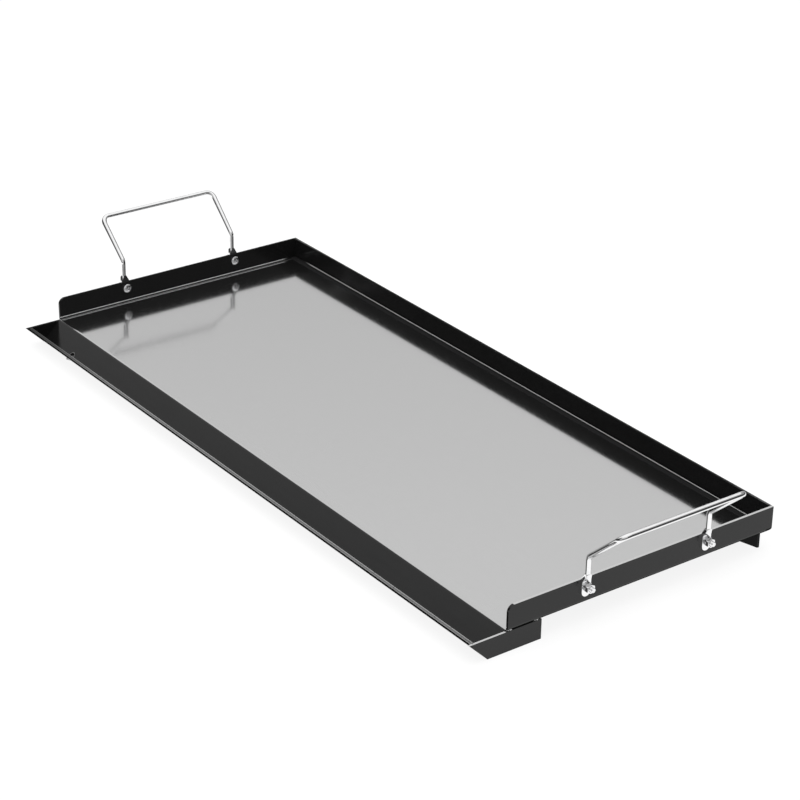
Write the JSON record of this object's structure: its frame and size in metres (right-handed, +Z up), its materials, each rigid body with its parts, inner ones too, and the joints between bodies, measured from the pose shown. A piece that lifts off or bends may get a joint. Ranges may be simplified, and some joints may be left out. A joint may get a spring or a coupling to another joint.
{
  "type": "camp griddle plate",
  "caption": "Long folded steel griddle tray with raised flanges, a V-shaped front grease gutter with a drain hole, low feet and a bolted wire handle at each end.",
  "frame": {"origin": "on the ground midway between the two ends and midway between the front tips of the end plates and the back flange", "axes": "+X along the long side to the end without the drain hole, +Y from the gutter to the back flange, +Z up"},
  "size_m": [1.084, 0.4316, 0.133],
  "materials": {
    "tray_sheet": "satin bare steel on the cooking floor, black heat-proof coating on flanges, gutter and underside",
    "black_coating": "semi-gloss black heat-proof coating",
    "chrome_wire": "polished chrome plating",
    "zinc_plate": "bright zinc plating",
    "spring_steel": "plain bright spring steel"
  },
  "bodies": {
    "root": {"griddle_tray": "tray_sheet", "left_end_plate": "black_coating", "right_end_plate": "black_coating", "left_rear_foot": "black_coating", "right_rear_foot": "black_coating", "left_handle": "chrome_wire", "right_handle": "chrome_wire", "left_front_screw": "zinc_plate", "left_rear_screw": "zinc_plate", "right_front_screw": "zinc_plate", "right_rear_screw": "zinc_plate", "left_front_washer": "zinc_plate", "left_rear_washer": "zinc_plate", "right_front_washer": "zinc_plate", "right_rear_washer": "zinc_plate", "left_front_lock_washer": "spring_steel", "left_rear_lock_washer": "spring_steel", "right_front_lock_washer": "spring_steel", "right_rear_lock_washer": "spring_steel", "left_front_nut": "zinc_plate", "left_rear_nut": "zinc_plate", "right_front_nut": "zinc_plate", "right_rear_nut": "zinc_plate"}
  },
  "joints": []
}
